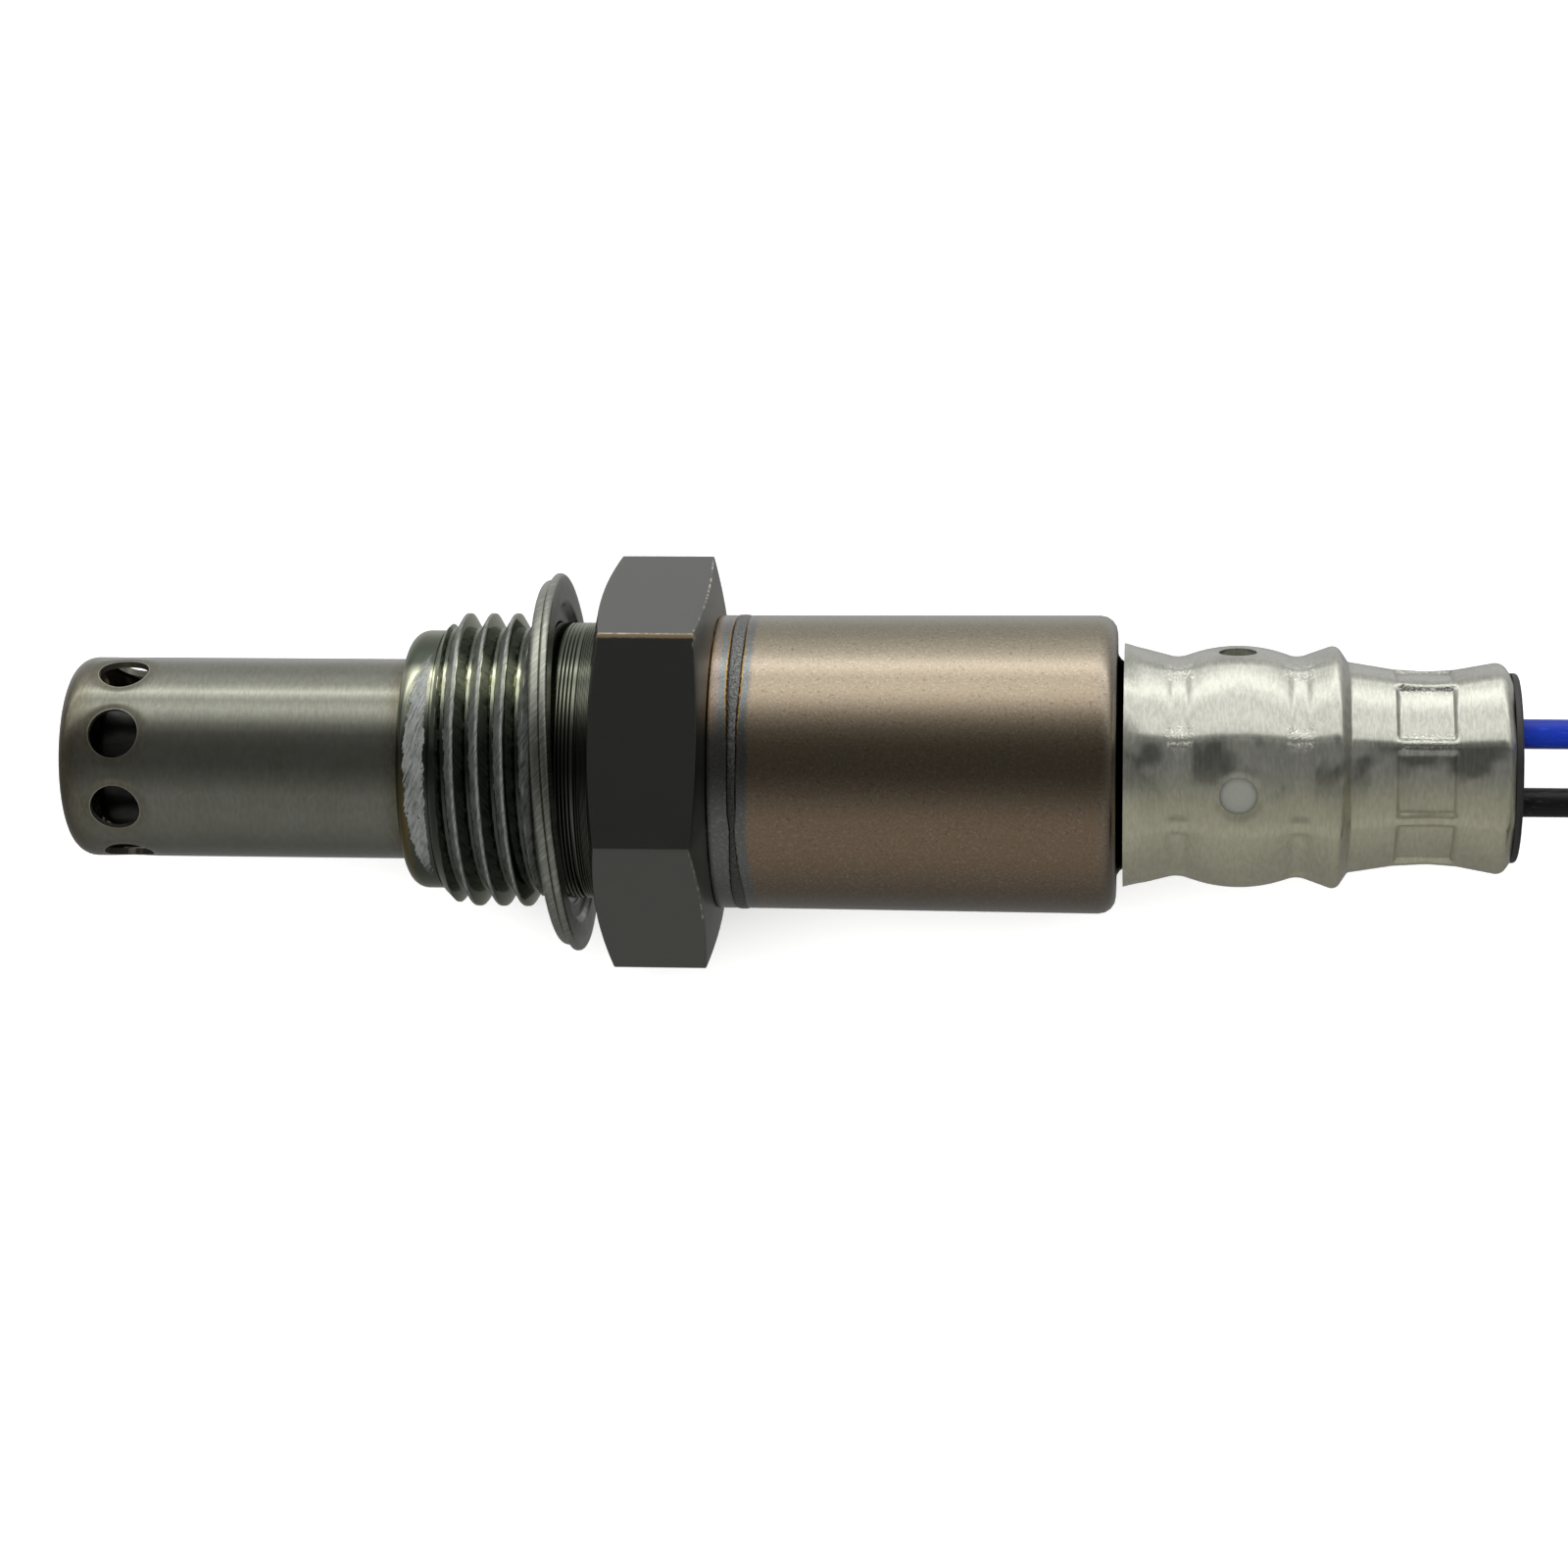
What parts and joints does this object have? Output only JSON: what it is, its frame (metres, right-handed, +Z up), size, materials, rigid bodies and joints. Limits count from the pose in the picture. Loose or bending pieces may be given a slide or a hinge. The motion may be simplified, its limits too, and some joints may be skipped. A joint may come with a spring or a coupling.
{
  "type": "oxygen sensor",
  "caption": "Exhaust gas sensor lying on its side: pierced tip, threaded shell with hexagon and seal ring, steel barrel, crimped vent cover, leads and a sleeved cable to a plug.",
  "frame": {"origin": "on the sensor's axis, at the rear end of the screw thread", "axes": "+X along the axis from the pierced tip to the cable, +Z up from the surface that the sensor lies on"},
  "size_m": [0.2251, 0.0448, 0.0232],
  "materials": {
    "cover_steel": "satin, heat tinted",
    "inner_cover_steel": "satin",
    "shell_steel": "dark oily zinc finish, worn on the crests and edges",
    "gasket_steel": "bright brushed",
    "barrel_steel": "bead blasted, heat tinted brown",
    "vent_steel": "satin silver",
    "clamp_metal": "dull",
    "spring_steel": "plain",
    "contact_metal": "plain",
    "crimp_metal": "plated",
    "element_ceramic": "fired, plain",
    "insulator_ceramic": "fired, plain",
    "talc": "pressed powder",
    "filter_plastic": "porous white",
    "grommet_rubber": "black",
    "lead_blue_cover": "glossy blue",
    "lead_white_cover": "glossy white",
    "lead_black_cover": "black",
    "sleeve_braid": "braided, varnished black",
    "plug_plastic": "fine grained black",
    "keeper_plastic": "grey",
    "pin_metal": "tin plated",
    "seal_rubber": "red-brown"
  },
  "bodies": {
    "root": {"outer_protection_cover": "cover_steel", "inner_protection_cover": "inner_cover_steel", "sensing_element": "element_ceramic", "threaded_shell": "shell_steel", "gasket_ring": "gasket_steel", "front_insulator": "insulator_ceramic", "talc_seal": "talc", "spacer_sleeve": "insulator_ceramic", "clamp_ring": "clamp_metal", "disc_spring": "spring_steel", "rear_insulator": "insulator_ceramic", "main_cover": "barrel_steel", "vent_filter": "filter_plastic", "vent_cover": "vent_steel", "grommet": "grommet_rubber", "lead_blue": "lead_blue_cover", "lead_white": "lead_white_cover", "lead_black_1": "lead_black_cover", "lead_black_2": "lead_black_cover", "harness_sleeve": "sleeve_braid", "plug_housing": "plug_plastic", "pin_keeper": "keeper_plastic", "wire_seal": "seal_rubber", "plug_cap": "plug_plastic", "contact_spring_1": "contact_metal", "crimp_sleeve_1": "crimp_metal", "plug_pin_1": "pin_metal", "contact_spring_2": "contact_metal", "crimp_sleeve_2": "crimp_metal", "plug_pin_2": "pin_metal", "contact_spring_3": "contact_metal", "crimp_sleeve_3": "crimp_metal", "plug_pin_3": "pin_metal", "contact_spring_4": "contact_metal", "crimp_sleeve_4": "crimp_metal", "plug_pin_4": "pin_metal"}
  },
  "joints": []
}
